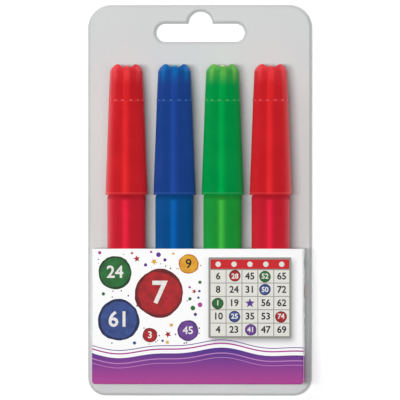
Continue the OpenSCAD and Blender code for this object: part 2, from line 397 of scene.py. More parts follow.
def tray_material():
    m, nt, b = new_material("tray_plastic")
    vec = coords(nt)
    slow = noise_tex(nt, vec, 14, 2, 0.5)
    base = lin((212, 214, 214))
    col = ramp(nt, slow, [(0.3, tuple(v * 0.965 for v in base)), (0.7, tuple(v * 1.02 for v in base))])
    fleck = noise_tex(nt, vec, 900, 3, 0.6)
    col = mix_colour(nt, map_range(nt, fleck, 0.35, 0.7, 0.0, 0.05), col, lin((180, 180, 182)))
    nt.links.new(col, b.inputs["Base Color"])
    fine = noise_tex(nt, vec, 3800, 2, 0.6)
    # the rolled rim is polished by handling, the flat keeps its grain
    geo = nt.nodes.new("ShaderNodeNewGeometry")
    rim = map_range(nt, separate(nt, geo.outputs["Normal"])[2], 0.8, 0.985, 1.0, 0.0, smooth=True)
    r = maths(nt, "SUBTRACT", map_range(nt, fine, 0.25, 0.75, 0.42, 0.52), maths(nt, "MULTIPLY", rim, 0.26))
    nt.links.new(r, b.inputs["Roughness"])
    b.inputs["Specular IOR Level"].default_value = 0.4
    n1 = bump(nt, None, slow, 0.12, 1.5 * MM)
    bump(nt, b, fine, 0.15, 0.004 * MM, normal=n1)
    return m


TRAY_MAT = tray_material()

# ---------------------------------------------------------------------- caps


def taper_r(z):
    """Radius of the cap's long taper."""
    return 7.475 - 0.03558 * (z - 1.3)


def top_r(z):
    """Radius of the fluted part, over its ridges."""
    return 6.30 - 0.0422 * (z - CAP_L + 12.4)


def resample(points, step):
    out = [points[0]]
    for p, q in zip(points, points[1:]):
        n = max(1, int(math.hypot(q[0] - p[0], q[1] - p[1]) / step))
        out += [(p[0] + (q[0] - p[0]) * j / n, p[1] + (q[1] - p[1]) * j / n) for j in range(1, n + 1)]
    return out


def cap_profile():
    L = CAP_L
    outer = [(6.80, 0.0), (7.1, 0.0), (7.40, 0.0)]
    outer += arc(7.41, 0.15, 0.15, -80, 0, 4)
    outer += [(7.56, 0.3), (7.56, 0.40)]
    outer += arc(7.46, 0.40, 0.10, 12, 40, 3)
    outer += [(7.475, 0.62), (7.452, 0.69), (7.447, 0.78), (7.46, 0.98)]
    z0, z1 = 1.3, L - 14.05
    outer += [(taper_r(z), z) for z in (z0 + (z1 - z0) * k / 26 for k in range(27))]
    z = L - 13.9
    while z < L - 12.05:
        outer.append((top_r(z), z))
        z += 0.07
    outer += [(top_r(L + z), L + z) for z in (-11.8, -11.4, -10.9, -10.3, -9.6, -8.9, -8.2, -7.5, -6.8, -6.1, -5.4, -4.9)]
    crown = round_corners([(5.967, L - 4.5, 0), (top_r(L - 2.5), L - 2.5, 1.1), (4.7, L, 0.42), (3.9, L, 0)], closed=False, n=7)
    outer += resample(crown, 0.3)
    outer += [(r, L) for r in (3.6, 3.3, 3.0, 2.7, 2.4, 2.1, 1.8, 1.55, 1.35, 1.2, 1.08, 1.0)]
    outer += [(0.95, L - 1.1), (0.92, L - 0.8), (0.86, L - 0.58), (0.74, L - 0.42), (0.56, L - 0.33), (0.3, L - 0.29), (0.0, L - 0.28)]
    inner = [(0.0, L - 2.7), (1.5, L - 2.7), (NOSE_R + 0.06, L - 2.7)]
    tube = [(NOSE_R + 0.06, L - 19.9), (NOSE_R + 0.2, L - 20.35), (NOSE_R + 0.45, L - 20.4), (NOSE_R + 0.6, L - 20.2),
            (NOSE_R + 0.75, L - 19.5), (NOSE_R + 0.75, L - 2.9), (NOSE_R + 0.8, L - 2.7)]
    cavity = [(4.5, L - 2.72), (4.72, L - 2.95), (4.85, L - 3.6), (5.2, L - 14), (5.95, 14.6), (6.05, 14.2), (6.42, 13.4),
              (6.42, 6.0), (6.42, 0.5), (6.5, 0.2), (6.68, 0.02)]
    return outer + inner + tube + cavity


def cap_warp(r, z, t):
    """Cuts the flutes and the crown's channels into the turned profile."""
    L = CAP_L
    t -= TURN
    f = (t - math.radians(270)) * FLUTES / (2 * math.pi)
    f -= round(f)                          # -0.5 .. 0.5 across one flute
    w = math.cos(math.pi * f) ** 2
    if L - 13.95 < z < L - 4.4 and r > 5.6:
        edge = L - 13.2 + 0.56 * (1 - w)
        s = smoothstep(edge - 0.10, edge + 0.15, z)
        nub = 0.03 + 0.10 * smoothstep(0.5, 0.12, w)
        r = taper_r(z) * (1 - s) + (top_r(z) - FLUTE_D * w) * s + nub * math.exp(-((z - edge + 0.02) / 0.22) ** 2)
    elif z >= L - 4.6 and r > 4.3:
        r -= FLUTE_D * w * (1 - smoothstep(L - 3.3, L - 1.9, z))
    if z > L - 3.2 and r > 0.97:
        x, y = r * math.cos(t), r * math.sin(t)

        def channel(v):
            v = abs(v)
            if v >= CROWN_R:
                return L + 2
            return L - CROWN_D + CROWN_R - math.sqrt(CROWN_R ** 2 - v * v)
        z = smin(z, smin(channel(x), channel(y), 0.3), 0.14)
    return r, z


def make_cap(i, colour):
    bm = bmesh.new()
    prof = [(r, MOUTH + z) for r, z in cap_profile()]
    revolve(bm, i, prof, seg=FLUTES * 16, warp=lambda r, z, t: (lambda q: (q[0], q[1] + MOUTH))(cap_warp(r, z - MOUTH, t)))
    node = f"pen{i + 1}_cap"
    return finish_mesh(f"pen{i + 1}_cap_shell", bm, CAP_MAT[colour], node, node, sharp=50)


# ------------------------------------------------- barrels and what they hold
def lathe(i, name, profile, material, node, seg=128, warp=None, n=5, step=4.0):
    """Turned piece of pen i from a profile of (radius, distance from the tail, corner radius)."""
    bm = bmesh.new()
    revolve(bm, i, resample_closed(round_corners(profile, n=n), step), seg=seg, warp=warp)
    return finish_mesh(f"pen{i + 1}_{name}", bm, material, f"pen{i + 1}", f"pen{i + 1}_{node}")


def resample_closed(points, step):
    out = []
    for k, p in enumerate(points):
        out.append(p)
        q = points[(k + 1) % len(points)]
        if p[0] < 1e-6 and q[0] < 1e-6:
            continue
        n = int(math.hypot(q[0] - p[0], q[1] - p[1]) / step)
        out += [(p[0] + (q[0] - p[0]) * j / (n + 1), p[1] + (q[1] - p[1]) * j / (n + 1)) for j in range(1, n + 1)]
    return out


def make_pen(i, colour):
    lathe(i, "barrel_tube", [(BORE_R, FLANGE, 0.1), (BARREL_R, FLANGE, 0.25)]
          + [(BARREL_R - 0.16 * (k / 8) ** 2, SHOULDER - 2.2 + 2.2 * k / 8, 0) for k in range(9)] + [(NECK_R, SHOULDER, 0.02),
                             (NECK_R, NECK_END, 0.4), (BORE_R, NECK_END, 0.15)],
          BARREL_MAT[colour], "barrel", seg=144)
    lathe(i, "tip_holder",
          [(NIB_R + 1.9, HOLDER_IN, 0.2), (BORE_R, HOLDER_IN, 0.5), (BORE_R, NECK_END, 0.05), (NECK_R - 0.2, NECK_END, 0.1),
           (NECK_R - 0.2, NECK_END + 1.2, 0.35), (5.2, NECK_END + 1.2, 0.3), (5.0, NECK_END + 3, 1.5), (4.25, NECK_END + 10.6, 1.0),
           (NOSE_R, NECK_END + 11.8, 0.6), (NOSE_R, NOSE_END, 0.55), (NIB_R, NOSE_END, 0.12), (NIB_R, HOLDER_IN + 7, 0.3),
           (NIB_R + 1.9, HOLDER_IN + 5, 0.3)],
          HOLDER, "nib_holder", seg=128)
    tip = NOSE_END + NIB_OUT
    r0 = HOLDER_IN - 6.6

    def worn(r, z, t):
        """Fibre tip: strands make its surface slightly uneven."""
        if r > 0.4 and z > NOSE_END:
            r -= 0.025 * (1 + math.sin(t * 23)) * (0.6 + 0.4 * math.sin(t * 9 + z))
        return r, z
    lathe(i, "fibre_tip", [(0, r0, 0), (1.1, r0, 0.2), (NIB_R, r0 + 1.8, 0.6), (NIB_R, tip - 2.3, 0)]
          + [(NIB_R * math.cos(math.radians(a)), tip - 2.3 + 2.3 * math.sin(math.radians(a)), 0) for a in range(8, 90, 8)] + [(0, tip, 0)],
          NIB_MAT[colour], "nib", seg=96, warp=worn, step=1.2)
    rr = BORE_R - 0.35

    def ribbed(r, z, t):
        if r > rr - 0.05:
            r -= 0.06 * (1 + math.sin(t * 40)) * 0.5
        return r, z
    lathe(i, "ink_fibre", [(0, PLUG_L, 0), (rr, PLUG_L, 0.4), (rr, HOLDER_IN, 0.4), (NIB_R, HOLDER_IN, 0.1), (NIB_R, HOLDER_IN - 6.6, 0.1),
                           (0, HOLDER_IN - 6.6, 0)],
          INK_MAT[colour], "ink_reservoir", seg=160, warp=ribbed)
    ro = BORE_R - 0.2

    def lapped(r, z, t):
        """Film wrap: its edge laps over by a tenth of a turn."""
        if r > ro - 0.03:
            r -= 0.05 * smoothstep(0.0, 0.08, t) * (1 - smoothstep(0.55, 0.6, t))
        return r, z
    lathe(i, "film_wrap", [(rr, PLUG_L, 0), (ro, PLUG_L, 0), (ro, HOLDER_IN, 0), (rr, HOLDER_IN, 0)], WRAP, "reservoir_wrap",
          seg=128, warp=lapped)
    lathe(i, "tail_plug",
          [(0, 0.5, 0), (2.4, 0.5, 0.35), (2.9, 0, 0.35), (BARREL_R, 0, 1.1), (BARREL_R, FLANGE, 0.22), (BORE_R, FLANGE, 0.08),
           (BORE_R, PLUG_L, 0.5), (BORE_R - 1.1, PLUG_L, 0.2), (BORE_R - 1.2, 3.4, 0.4), (0, 3.4, 0)],
          CAP_MAT[colour], "end_plug", seg=144)


for i, colour in enumerate(COLOURS):
    make_cap(i, colour)
    make_pen(i, colour)


# ------------------------------------------------------------ flat mesh helper
def inside(poly, x, y):
    """Even-odd test of a point against one closed loop."""
    hit = False
    x0, y0 = poly[-1]
    for x1, y1 in poly:
        if (y1 > y) != (y0 > y) and x < (x0 - x1) * (y - y1) / (y0 - y1) + x1:
            hit = not hit
        x0, y0 = x1, y1
    return hit


def triangulate(loops, lines=()):
    """Constrained triangulation of closed loops and open lines: (points, triangles)."""
    co, edges = [], []
    for loop in loops:
        base, n = len(co), len(loop)
        co += [Vector(p[:2]) for p in loop]
        edges += [(base + k, base + (k + 1) % n) for k in range(n)]
    for line in lines:
        base = len(co)
        co += [Vector(p[:2]) for p in line]
        edges += [(base + k, base + k + 1) for k in range(len(line) - 1)]
    v, _, f, _, _, _ = delaunay_2d_cdt(co, edges, [], 0, 1e-5)
    return [(p.x, p.y) for p in v], [tuple(t) for t in f]


# ---------------------------------------------------------------------- tray
def rect_ring(off, z, n_corner=16, nx=16, ny=30):
    hw, hh, rt, rb = TRAY_W / 2 - off, TRAY_H / 2 - off, TRAY_R - off, TRAY_FOOT_R - off
    cs = [(hw - rt, hh - rt, 0, rt), (-hw + rt, hh - rt, 90, rt), (-hw + rb, -hh + rb, 180, rb), (hw - rb, -hh + rb, 270, rb)]
    pts = []
    for k, (cx, cy, a0, r) in enumerate(cs):
        for j in range(n_corner + 1):
            a = math.radians(a0 + 90 * j / n_corner)
            pts.append((cx + r * math.cos(a), cy + r * math.sin(a), z))
        m = nx if k % 2 == 0 else ny
        bx, by, b0, br = cs[(k + 1) % 4]
        e = (bx + br * math.cos(math.radians(b0)), by + br * math.sin(math.radians(b0)))
        s0 = pts[-1]
        pts += [(s0[0] + (e[0] - s0[0]) * j / m, s0[1] + (e[1] - s0[1]) * j / m, z) for j in range(1, m)]
    return pts


def slot_ring(o, z):
    """Outline of the hang slot, grown by o."""
    hb, hw, rp = SLOT_H / 2 + o, (SLOT_W - SLOT_H) / 2, PEAK_R + o
    cy = SLOT_Y + SLOT_H / 2 - 0.35
    xi = math.sqrt(rp ** 2 - (0.35 + o) ** 2)
    pts = [(-hw + 2 * hw * j / 12, SLOT_Y - hb, z) for j in range(12)]
    pts += [(hw + hb * math.cos(math.radians(a)), SLOT_Y + hb * math.sin(math.radians(a)), z) for a in range(-90, 91, 5)]
    pts += [(hw + (xi - hw) * j / 5, SLOT_Y + hb, z) for j in range(1, 5)]
    a0 = math.atan2(0.35 + o, xi)
    pts += [(rp * math.cos(a0 + (math.pi - 2 * a0) * j / 24), cy + rp * math.sin(a0 + (math.pi - 2 * a0) * j / 24), z) for j in range(25)]
    pts += [(-xi + (xi - hw) * j / 5, SLOT_Y + hb, z) for j in range(1, 5)]
    pts += [(-hw + hb * math.cos(math.radians(a)), SLOT_Y + hb * math.sin(math.radians(a)), z) for a in range(90, 270, 5)]
    return [(x + 0.2, y, z) for x, y, z in pts]


def bridge(bm, rings, closed=True):
    vs = [[bm.verts.new(p) for p in ring] for ring in rings]
    n = len(vs[0])
    for a, b in zip(vs, vs[1:]):
        for k in range(n if closed else n - 1):
            k2 = (k + 1) % n
            bm.faces.new((a[k], a[k2], b[k2], b[k]))
    return vs


def saddle_rows(yc, inset):
    """Cross sections of one saddle, from its left end to its right end."""
    z0 = RIM - inset
    top, notch, half = SADDLE_TOP - inset, NOTCH_R + inset, 34.3 - inset
    xs = set()
    for t in (0, 0.015, 0.05, 0.1, 0.18, 0.3, 0.45, 0.62, 0.8, 1.0, 1.3):
        xs.add(round(-half + t, 4))
        xs.add(round(half - t, 4))
    for i in range(4):
        for k in range(-26, 27):
            x = pen_x(i) + (notch + 0.5) * math.sin(math.radians(k * 90 / 26))
            if abs(x) < half - 1.3:
                xs.add(round(x, 4))
    rows = []
    for x in sorted(xs):
        h = top
        for i in range(4):
            d = abs(x - pen_x(i))
            if d < notch:
                h = smin(h, AXIS_Z - math.sqrt(notch * notch - d * d), 0.5)
        t = min(1.0, (half - abs(x)) / 0.8)
        h = z0 + (h - z0) * math.sqrt(max(0.0, 1 - (1 - t) ** 2))

        def w(f):
            return (5 - inset) - 1.4 * (h - z0) * f / (SADDLE_TOP - RIM)
        side = [(w(0) + 0.45, 0), (w(0) + 0.14, 0.02), (w(0.09) - 0.0, 0.09), (w(0.3), 0.3), (w(0.6), 0.6), (w(0.86), 0.86),
                (w(0.95) - 0.06, 0.95), (w(0.985) - 0.24, 0.99), (w(1) - 0.55, 1.0), (1.2, 1.0)]
        pts = [(x, yc - a, z0 + (h - z0) * b) for a, b in side] + [(x, yc + a, z0 + (h - z0) * b) for a, b in reversed(side)]
        rows.append(pts)
    return rows


def footprint(rows):
    """Closed outline in which a saddle meets the sheet."""
    return [r[0] for r in rows] + rows[-1][1:-1] + [r[-1] for r in reversed(rows)] + list(reversed(rows[0][1:-1]))


def make_tray():
    bm = bmesh.new()
    e, deep = EDGE_R, 1.7
    section = [(1.45, 1.6), (1.36, 1.57), (1.27, 1.45), (1.22, 1.25), (1.2, 1.0), (1.2, 0.12), (1.16, 0.03), (1.06, 0.0), (0.6, 0.0), (0.16, 0.0), (0.05, 0.04), (0.0, 0.15),
               (0.0, RIM - deep)]
    section += [(e - e * math.cos(math.radians(a)), RIM - deep + deep * math.sin(math.radians(a))) for a in range(10, 91, 8)]
    section += [(e, RIM), (e + 0.04, RIM)]
    bridge(bm, [rect_ring(o, z) for o, z in section])
    s, q, down = 0.84, -0.38, 1.4
    slot_sec = [(0.6, 1.6), (0.49, 1.575), (0.41, 1.5), (0.37, 1.35), (0.355, 1.1), (0.35, 0.85), (0.31, 0.77), (0.22, 0.73),
                (q + 0.26, 0.73), (q + 0.1, 0.75), (q + 0.03, 0.79), (q, 0.86), (q, RIM - down)]
    slot_sec += [(s - (s - q) * math.cos(math.radians(a)), RIM - down + down * math.sin(math.radians(a))) for a in range(10, 91, 10)]
    slot_sec += [(s, RIM), (s + 0.04, RIM)]
    bridge(bm, [slot_ring(o, z) for o, z in slot_sec])
    tops, unders = [], []
    for yc in SADDLES:
        for inset, out in ((0.0, tops), (SHEET, unders)):
            rows = saddle_rows(yc, inset)
            bridge(bm, rows, closed=False)
            out.append(footprint(rows))
    for z, outer, hole, prints in ((RIM, rect_ring(e + 0.04, RIM), slot_ring(s + 0.04, RIM), tops),
                                   (RIM - SHEET, rect_ring(1.45, 1.6), slot_ring(0.6, 1.6), unders)):
        loops = [[p[:2] for p in outer], [p[:2] for p in hole]] + [[p[:2] for p in f] for f in prints]
        pts, tris = triangulate(loops)
        vs = [bm.verts.new((x, y, z)) for x, y in pts]
        for t in tris:
            cx = sum(pts[k][0] for k in t) / 3
            cy = sum(pts[k][1] for k in t) / 3
            if inside(loops[0], cx, cy) and not any(inside(l, cx, cy) for l in loops[1:]):
                bm.faces.new([vs[k] for k in t])
    loose = [v for v in bm.verts if not v.link_faces]
    bmesh.ops.delete(bm, geom=loose, context="VERTS")
    return finish_mesh("tray_sheet", bm, TRAY_MAT, "tray", "tray", sharp=40)


make_tray()

# ---------------------------------------------------------------------- card
# The board is drawn flat, as a die-cut blank with its print, then folded.
FOLD_R, BOARD = 0.5, 0.48
U0, V0, V_TOP = CARD_W / 2 - FOLD_R, -(CARD_H / 2 - FOLD_R), CARD_H / 2
ARC = FOLD_R * math.pi / 2
WALL_H = CARD_TOP - RIM - 2 * FOLD_R
CARD_Y = -CARD_FOOT + CARD_H / 2


def fold_section(s):
    """Distance past a fold line to (outward, height, outward normal, up normal)."""
    if s <= 0:
        return s, CARD_TOP, 0.0, 1.0
    if s < ARC:
        a = s / FOLD_R
        return FOLD_R * math.sin(a), CARD_TOP - FOLD_R + FOLD_R * math.cos(a), math.sin(a), math.cos(a)
    s -= ARC
    if s <= WALL_H:
        return FOLD_R, CARD_TOP - FOLD_R - s, 1.0, 0.0
    s -= WALL_H
    if s < ARC:
        a = s / FOLD_R
        return FOLD_R * math.cos(a), RIM + FOLD_R - FOLD_R * math.sin(a), math.cos(a), -math.sin(a)
    return -(s - ARC), RIM, 0.0, -1.0


def fold(u, v):
    """Point and outward normal on the folded board for a point of the flat blank."""
    if abs(u) > U0 and v >= V0 - 1e-4:
        o, z, n, nz = fold_section(abs(u) - U0)
        sg = 1 if u > 0 else -1
        return Vector((sg * (U0 + o), CARD_Y + v, z)), Vector((sg * n, 0, nz))
    if v < V0:
        o, z, n, nz = fold_section(V0 - v)
        return Vector((u, CARD_Y + V0 - o, z)), Vector((0, -n, nz))
    return Vector((u, CARD_Y + v, CARD_TOP)), Vector((0, 0, 1))


def digits(text, size, cx, cy, turn=0.0, weight=0.012):
    """Outlines of plain numerals, as closed loops."""
    cu = bpy.data.curves.new("numeral", "FONT")
    cu.body = text
    cu.size = size
    cu.align_x, cu.align_y = "CENTER", "CENTER"
    cu.resolution_u = 3
    cu.offset = weight * size
    ob = bpy.data.objects.new("numeral", cu)
    scene.collection.objects.link(ob)
    bpy.context.view_layer.update()
    me = bpy.data.meshes.new_from_object(ob.evaluated_get(bpy.context.evaluated_depsgraph_get()))
    bm = bmesh.new()
    bm.from_mesh(me)
    bmesh.ops.remove_doubles(bm, verts=bm.verts, dist=1e-5 * size)
    left = {e for e in bm.edges if len(e.link_faces) == 1}
    loops = []
    while left:
        e = next(iter(sorted(left, key=lambda q: q.index)))
        start, v = e.verts
        loop = [start]
        left.discard(e)
        while v != start:
            loop.append(v)
            nxt = [q for q in v.link_edges if q in left]
            if not nxt:
                break
            e = nxt[0]
            left.discard(e)
            v = e.other_vert(v)
        if len(loop) > 2:
            c, sn = math.cos(turn), math.sin(turn)
            loops.append([(cx + p.co.x * c - p.co.y * sn, cy + p.co.x * sn + p.co.y * c) for p in loop])
    bm.free()
    bpy.data.objects.remove(ob)
    bpy.data.curves.remove(cu)
    bpy.data.meshes.remove(me)
    return loops


def box_loop(x0, y0, x1, y1, r=0.0, n=4):
    if r <= 0:
        return [(x0, y0), (x1, y0), (x1, y1), (x0, y1)]
    pts = []
    for cx, cy, a0 in ((x1 - r, y1 - r, 0), (x0 + r, y1 - r, 90), (x0 + r, y0 + r, 180), (x1 - r, y0 + r, 270)):
        pts += [(cx + r * math.cos(math.radians(a0 + 90 * k / n)), cy + r * math.sin(math.radians(a0 + 90 * k / n))) for k in range(n + 1)]
    return pts


def blot(cx, cy, r, seed, n=52, rough=0.025, scale=1.0):
    """Outline of an ink dab: nearly round, with a slightly uneven edge."""
    pts = []
    for k in range(n):
        a = 2 * math.pi * k / n
        w = noise.noise(Vector((math.cos(a) * 1.3 + seed * 7.1, math.sin(a) * 1.3, seed * 3.3)))
        w2 = noise.noise(Vector((math.cos(a) * 4.5 + seed * 2.3, math.sin(a) * 4.5, seed * 1.7 + 9)))
        rr = scale * r * (1 + rough * 2.2 * w + rough * 0.9 * w2)
        pts.append((cx + rr * math.cos(a), cy + rr * math.sin(a)))
    return pts


def star(cx, cy, r, turn=0.0, points=5, waist=0.45):
    return [(cx + (r if k % 2 == 0 else r * waist) * math.cos(math.pi / 2 + turn + math.pi * k / points),
             cy + (r if k % 2 == 0 else r * waist) * math.sin(math.pi / 2 + turn + math.pi * k / points)) for k in range(2 * points)]


def wave(u):
    return -12.9 + 1.4 * math.sin(2 * math.pi * (u + 9) / 61) + 0.6 * math.sin(2 * math.pi * (u - 3) / 26)


def ribbon(lo, hi):
    us = [-60 + 120 * k / 120 for k in range(121)]
    return [(u, wave(u) + hi) for u in us] + [(u, (wave(u) + lo) if lo is not None else -45.0) for u in reversed(us)]


def print_layout():
    """Shapes of the print in painting order: (ink, closed loops). A generic design of bingo numbers and ink dabs."""
    shapes = []

    def add(ink, *loops):
        shapes.append((ink, list(loops)))
    rnd = random.Random(11)
    # soft shadow of the number sheet, and the ribbon along the foot
    gx0, gy0, cw, ch, gap_ = 4.6, -6.9, 5.35, 4.45, 0.28
    gx1, gy1 = gx0 + 5 * cw + 4 * gap_, gy0 + 5 * ch + 4 * gap_
    add("shadow", box_loop(gx0 - 2.4, gy0 - 3.6, gx1 + 3.3, gy1 + 4.6))
    add("purple", ribbon(2.55, 2.85))
    add("magenta", ribbon(1.25, 1.75))
    add("band", ribbon(None, 0.0))
    add("band_light", ribbon(-2.1, -1.75))
    add("band_light", ribbon(-3.6, -3.4))
    # walls: plain rules and a row of numbered dabs along the front, loose dabs on the sides
    wall = V0 - ARC - WALL_H / 2
    add("white", box_loop(-60, -45, 60, V0 - 0.8 * ARC))
    add("purple", box_loop(-60, wall - 4.75, 60, wall - 4.35))
    add("magenta", box_loop(-60, wall - 5.75, 60, wall - 5.15))
    dots = (("red", "5"), ("yellow", "12"), ("blue", "27"), ("green", "33"), ("purple", "46"),
            ("red", "58"), ("yellow", "60"), ("blue", "66"), ("green", "74"))
    for k, (c, n) in enumerate(dots):
        x, y, sd = -32 + 8 * k, wall + 0.9 + 0.5 * (-1) ** k, rnd.uniform(0, 50)
        add(c + "_rim", blot(x, y, 2.75, sd, n=48))
        add(c + "_dab", blot(x, y, 2.45, sd + 1.3, n=48, rough=0.03))
        add(c + "_ink", *digits(n, 2.9, x, y, weight=0.02))
    for sg in (-1, 1):
        for c, du, v, r in (("blue", 1.6, 18.6, 2.3), ("yellow", -2.9, 13.0, 1.3), ("red", 2.2, 8.8, 3.0), ("green", -2.4, 3.0, 2.2),
                            ("purple", 2.9, -1.8, 1.5), ("magenta", -3.4, 19.2, 0.7), ("purple", -1.2, -5.0, 0.7), ("red", 4.2, 13.6, 0.6)):
            x, sd = sg * (U0 + ARC + WALL_H / 2 + du), rnd.uniform(0, 50)
            if r > 1:
                add(c + "_rim", blot(x, v, r, sd, n=48))
                add(c + "_dab", blot(x, v, r * 0.88, sd + 1.3, n=48, rough=0.03))
            else:
                add(c, blot(x, v, r, sd, n=20))
    # number sheet
    add("sheet", box_loop(gx0 - 0.75, gy0 - 0.75, gx1 + 0.75, gy1 + 4.5, 0.5))
    add("red", box_loop(gx0, gy1 + 0.4, gx1, gy1 + 3.75, 0.3))
    for k in range(5):
        cx = gx0 + cw / 2 + k * (cw + gap_)
        add("cell", blot(cx, gy1 + 2.07, 0.95, 40 + k, n=24, rough=0.0))
    dabbed = {(1, 4): "red", (3, 3): "blue", (0, 2): "green", (4, 1): "red", (2, 0): "purple", (1, 1): "blue", (3, 4): "green"}
    numbers = []
    for col in range(5):
        numbers.append(rnd.sample(range(1 + 15 * col, 16 + 15 * col), 5))
    for col in range(5):
        for row in range(5):
            x, y = gx0 + col * (cw + gap_), gy0 + row * (ch + gap_)
            mx, my = x + cw / 2, y + ch / 2
            add("cell", box_loop(x, y, x + cw, y + ch))
            if (col, row) == (2, 2):
                add("purple", star(mx, my - 0.05, 1.75))
                continue
            if (col, row) in dabbed:
                c = dabbed[(col, row)]
                jx, jy = rnd.uniform(-0.35, 0.35), rnd.uniform(-0.3, 0.3)
                add(c + "_rim", blot(mx + jx, my + jy, 2.05, rnd.uniform(0, 50), n=40))
                add(c + "_dab", blot(mx + jx, my + jy, 1.78, rnd.uniform(0, 50), n=40))
            ink = dabbed[(col, row)] + "_ink" if (col, row) in dabbed else "digit"
            size = 3.35 if ink == "digit" else 2.5
            add(ink, *digits(str(numbers[col][row]), size, mx + (0.0 if ink == "digit" else jx), my - 0.02, weight=0.024))
    # large dabs with their numbers
    for c, x, y, r, n in (("green", -29.3, 15.6, 5.9, "24"), ("red", -13.6, 8.2, 8.6, "7"), ("blue", -28.0, -1.2, 7.4, "61"),
                          ("yellow", -3.2, 18.6, 3.5, "9"), ("purple", -3.4, -5.0, 3.7, "45"), ("red", -16.9, -6.6, 2.6, "3")):
        sd = rnd.uniform(0, 50)
        add(c + "_rim", blot(x, y, r, sd, n=80))
        add(c + "_dab", blot(x, y, r * 0.88, sd + 1.3, n=80, rough=0.03))
        add(c + "_ink", *digits(n, r * (1.3 if len(n) == 1 else 1.02), x, y, weight=0.02))
        for _ in range(5):
            a, d = rnd.uniform(0, 2 * math.pi), r * rnd.uniform(1.1, 1.3)
            add(c + "_rim", blot(x + d * math.cos(a), y + d * math.sin(a), rnd.uniform(0.12, 0.3), rnd.uniform(0, 50), n=12))
    # confetti in the white between them
    taken = [(-29.3, 15.6, 6.9), (-13.6, 8.2, 9.7), (-28.0, -1.2, 8.5), (-3.2, 18.6, 4.5), (-3.4, -5.0, 4.7), (-16.9, -6.6, 3.5)]
    inks = ("red_dab", "blue_dab", "green_dab", "yellow_dab", "magenta", "purple")
    tries = 0
    while len(taken) < 30 and tries < 3000:
        tries += 1
        x, y = rnd.uniform(-36, 3.0), rnd.uniform(-9.5, 23)
        r = rnd.choice((0.45, 0.6, 0.85))
        if y - wave(x) < 3.6 or any(math.hypot(x - a, y - b) < c + r + 0.7 for a, b, c in taken) or (x > 1.0 and y > -12):
            continue
        taken.append((x, y, r))
        k = len(taken)
        if k % 3 == 0:
            add(inks[k % 6], star(x, y, r * 1.5, rnd.uniform(0, 1.2)))
        else:
            add(inks[k % 6], blot(x, y, r, 3.0 * k, n=20, rough=0.01))
    return shapes, (gx0 - 0.75, gy0 - 0.75, gx1 + 0.75, gy1 + 4.5)


def board(name, colour, rough=0.5, spec=0.12, vary=0.02, second=None, painted_glow=0.0):
    """Printed, lightly coated board: fine paper tooth, faint ink mottle."""
    m, nt, b = new_material(name)
    vec = coords(nt)
    base = lin(colour)
    mottle = noise_tex(nt, vec, 700, 3, 0.6)
    col = ramp(nt, mottle, [(0.3, tuple(v * (1 - vary) for v in base)), (0.7, tuple(min(1, v * (1 + vary)) for v in base))])
    if second:
        y = separate(nt, vec)[1]
        f = map_range(nt, y, second[1] * MM, second[2] * MM, 0.0, 1.0)
        col = mix_colour(nt, f, col, lin(second[0]))
    nt.links.new(col, b.inputs["Base Color"])
    tooth = noise_tex(nt, vec, 2400, 4, 0.6)
    nt.links.new(map_range(nt, tooth, 0.25, 0.75, rough - 0.05, rough + 0.06), b.inputs["Roughness"])
    b.inputs["Specular IOR Level"].default_value = spec
    bump(nt, b, tooth, 0.2, 0.006 * MM)
    if painted_glow:
        # painted glow: the white board gives off a little light of its own, so it reads whiter
        nt.links.new(col, b.inputs["Emission Color"])
        b.inputs["Emission Strength"].default_value = painted_glow
    return m


def dab_material(name, colour, deep):
    """Dabbed ink on board: soaked in unevenly."""
    m, nt, b = new_material(name)
    vec = coords(nt)
    blotch = noise_tex(nt, vec, 330, 4, 0.55)
    col = ramp(nt, blotch, [(0.32, lin(deep)), (0.62, lin(colour))])
    nt.links.new(col, b.inputs["Base Color"])
    tooth = noise_tex(nt, vec, 2400, 4, 0.6)
    nt.links.new(map_range(nt, tooth, 0.25, 0.75, 0.42, 0.55), b.inputs["Roughness"])
    b.inputs["Specular IOR Level"].default_value = 0.14
    bump(nt, b, tooth, 0.2, 0.006 * MM)
    return m


def shadow_material(rect):
    """White board with the printed soft shadow of the number sheet."""
    m, nt, b = new_material("board_shadow")
    vec = coords(nt)
    x, y, _ = separate(nt, vec)
    ox, oy, soft = 0.7, -1.0, 1.7
    x0, y0, x1, y1 = (rect[0] + ox) * MM, (rect[1] + oy + CARD_Y) * MM, (rect[2] + ox) * MM, (rect[3] + oy + CARD_Y) * MM
    s = soft * MM
    f = maths(nt, "MULTIPLY", map_range(nt, x, x0 - s, x0 + s, 0, 1, True), map_range(nt, x, x1 - s, x1 + s, 1, 0, True))
    f = maths(nt, "MULTIPLY", f, map_range(nt, y, y0 - s, y0 + s, 0, 1, True))
    f = maths(nt, "MULTIPLY", f, map_range(nt, y, y1 - s, y1 + s, 1, 0, True))
    tooth = noise_tex(nt, vec, 2400, 4, 0.6)
    f = maths(nt, "MULTIPLY", f, map_range(nt, tooth, 0.25, 0.75, 0.95, 1.0))
    col = mix_colour(nt, f, lin(WHITE), lin((150, 150, 154)))
    nt.links.new(col, b.inputs["Base Color"])
    nt.links.new(map_range(nt, tooth, 0.25, 0.75, 0.37, 0.48), b.inputs["Roughness"])
    b.inputs["Specular IOR Level"].default_value = 0.35
    bump(nt, b, tooth, 0.2, 0.006 * MM)
    return m


WHITE = (254, 254, 254)


